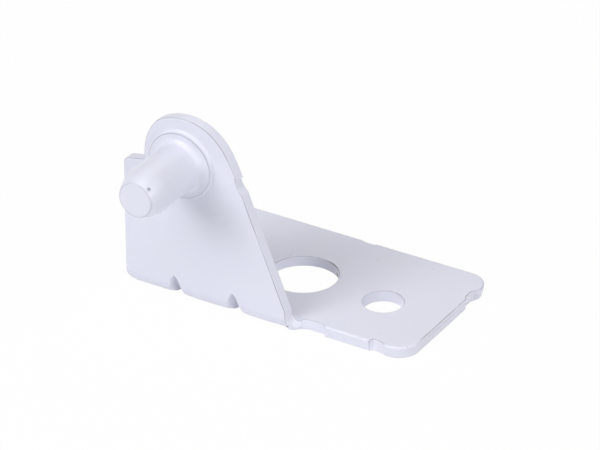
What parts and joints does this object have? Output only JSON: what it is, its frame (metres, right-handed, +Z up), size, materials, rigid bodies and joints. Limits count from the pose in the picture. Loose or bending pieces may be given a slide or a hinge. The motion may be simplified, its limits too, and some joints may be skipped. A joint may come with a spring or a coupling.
{
  "type": "fridge door hinge",
  "caption": "Folded sheet steel hinge bracket with a base plate, an upright lug and a riveted pivot pin that a fridge door turns on.",
  "frame": {"origin": "centre of the screw hole, on the underside of the base plate", "axes": "+X along the fold towards the free end of the base plate, +Y from the flange towards the back of the base plate, +Z up, square to the base plate; the pivot pin points to -Y"},
  "size_m": [0.0534, 0.0443, 0.0348],
  "materials": {
    "white_paint": "smooth glossy white stove enamel with a faint lavender cast, over steel"
  },
  "bodies": {
    "root": {"bracket": "white_paint", "hinge_pin": "white_paint"}
  },
  "joints": []
}
